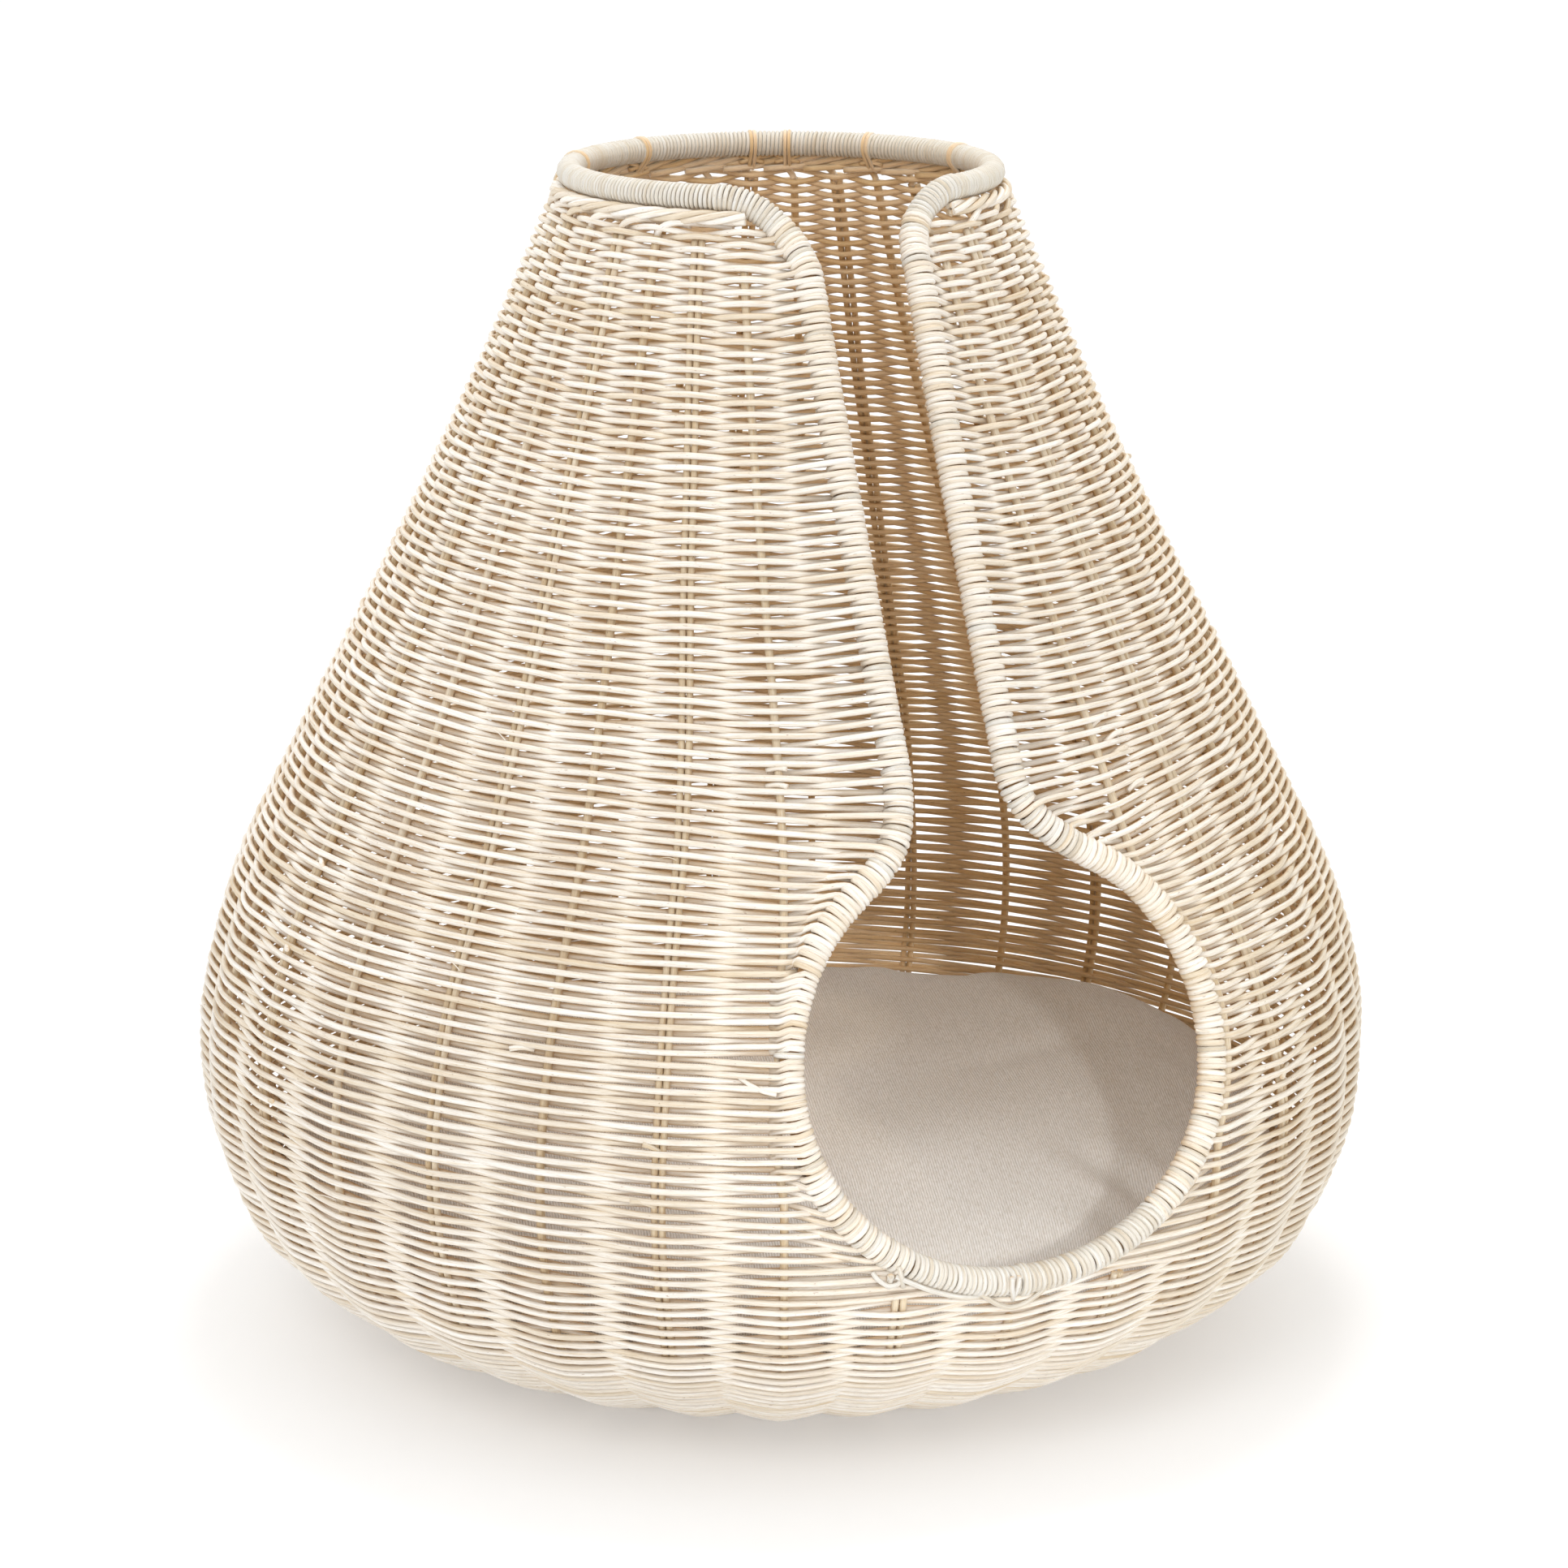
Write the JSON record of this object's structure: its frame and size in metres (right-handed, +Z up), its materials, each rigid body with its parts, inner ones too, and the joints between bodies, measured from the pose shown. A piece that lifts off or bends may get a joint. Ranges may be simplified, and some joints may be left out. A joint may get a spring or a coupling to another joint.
{
  "type": "wicker pet bed basket",
  "caption": "Bulbous round woven-cane pet den with a keyhole entrance running up into an open top mouth, and a loose round floor cushion inside.",
  "frame": {"origin": "centre of the flat underside of the base, on the surface that the basket stands on", "axes": "+Z up along the basket's axis, -Y out through the middle of the entrance, +X to the right of someone looking in from behind the entrance towards +Y"},
  "size_m": [0.4992, 0.4972, 0.4978],
  "materials": {
    "weave_cane": "bleached peeled cane, satin",
    "stake_cane": "peeled cane rod, satin",
    "border_cane": "bent cane rod ends, satin",
    "binding_cane": "cane strip, light sheen",
    "pole_cane": "natural rattan pole",
    "cushion_cloth": "matte twill",
    "cushion_fill": "polyester fibre"
  },
  "bodies": {
    "basket": {"base_stick_lower_1": "stake_cane", "base_stick_lower_2": "stake_cane", "base_stick_lower_3": "stake_cane", "base_stick_lower_4": "stake_cane", "base_stick_upper_1": "stake_cane", "base_stick_upper_2": "stake_cane", "base_stick_upper_3": "stake_cane", "base_stick_upper_4": "stake_cane", "base_weave": "weave_cane", "border_braid": "border_cane", "edge_pole": "pole_cane", "entrance_binding": "binding_cane", "left_slit_wraps": "binding_cane", "lower_weave": "weave_cane", "middle_weave": "weave_cane", "right_slit_wraps": "binding_cane", "stake_02": "stake_cane", "stake_04": "stake_cane", "stake_06": "stake_cane", "stake_08": "stake_cane", "stake_10": "stake_cane", "stake_12": "stake_cane", "stake_14": "stake_cane", "stake_16": "stake_cane", "stake_18": "stake_cane", "stake_20": "stake_cane", "stake_22": "stake_cane", "stake_24": "stake_cane", "stake_26": "stake_cane", "stake_28": "stake_cane", "stake_30": "stake_cane", "stake_32": "stake_cane", "stake_pair_01": "stake_cane", "stake_pair_03": "stake_cane", "stake_pair_05": "stake_cane", "stake_pair_07": "stake_cane", "stake_pair_09": "stake_cane", "stake_pair_11": "stake_cane", "stake_pair_13": "stake_cane", "stake_pair_15": "stake_cane", "stake_pair_17": "stake_cane", "stake_pair_19": "stake_cane", "stake_pair_21": "stake_cane", "stake_pair_23": "stake_cane", "stake_pair_25": "stake_cane", "stake_pair_27": "stake_cane", "stake_pair_29": "stake_cane", "stake_pair_31": "stake_cane", "top_hoop_binding": "binding_cane", "upper_weave": "weave_cane"},
    "cushion": {"cushion_bottom_panel": "cushion_cloth", "cushion_filling": "cushion_fill", "cushion_top_panel": "cushion_cloth"}
  },
  "joints": [
    {"name": "cushion_lift", "type": "slide", "parent": "basket", "child": "cushion", "axis": [0, 0, 1], "range_m": [0, 0.035]}
  ]
}
